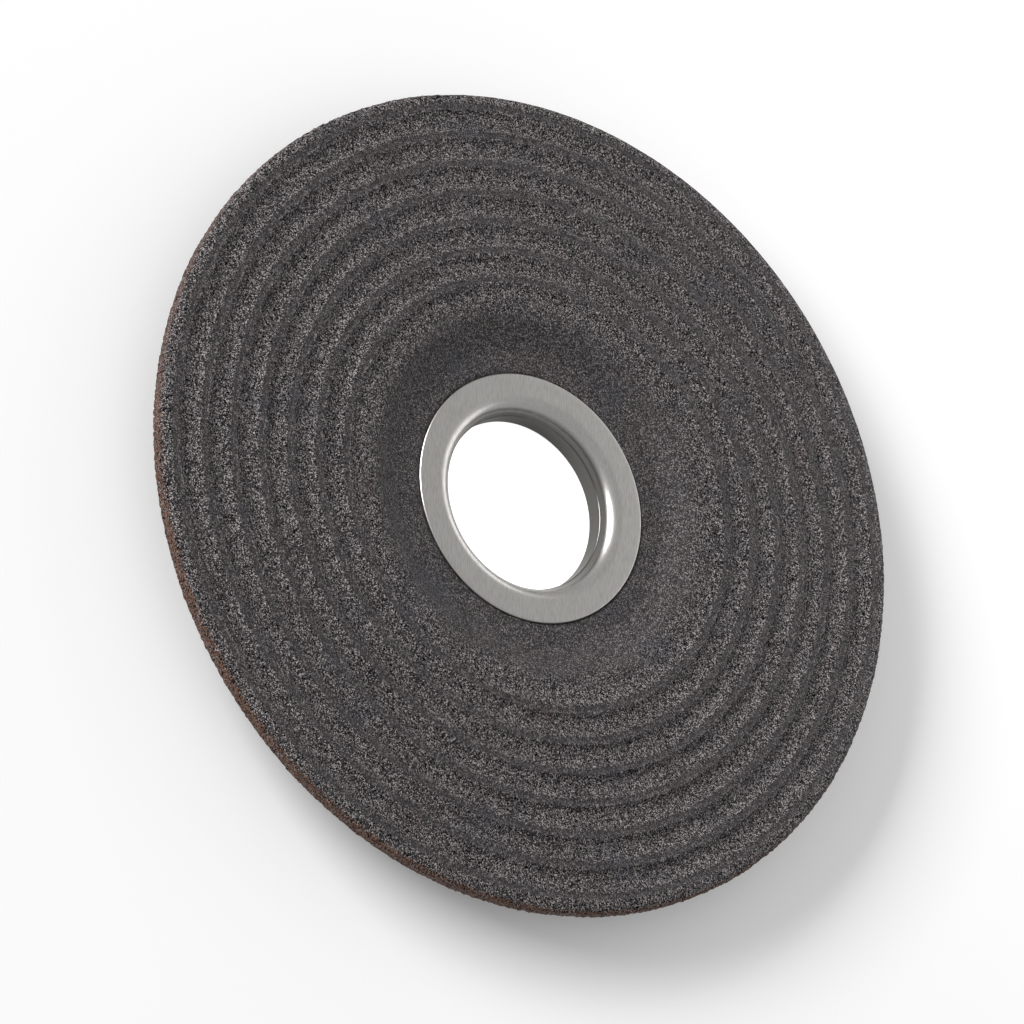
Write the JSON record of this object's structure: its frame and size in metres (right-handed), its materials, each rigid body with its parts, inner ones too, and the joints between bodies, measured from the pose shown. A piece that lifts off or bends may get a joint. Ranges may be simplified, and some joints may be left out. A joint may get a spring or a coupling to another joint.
{
  "type": "grinding disc",
  "caption": "Thin resin-bonded grinding disc with a depressed centre, concentric ridges on its working face and a steel arbor ring.",
  "frame": {"origin": "centre of the arbor bore on the flat back of the hub, which is the plane the disc rests on", "axes": "+Z along the bore axis, from the back of the hub towards the ridged working face"},
  "size_m": [0.105, 0.105, 0.0069],
  "materials": {
    "abrasive": "rough dark grey grit in resin, brown at the rim",
    "ring_steel": "satin, finely brushed"
  },
  "bodies": {
    "root": {"abrasive_disc": "abrasive", "arbor_ring": "ring_steel"}
  },
  "joints": []
}
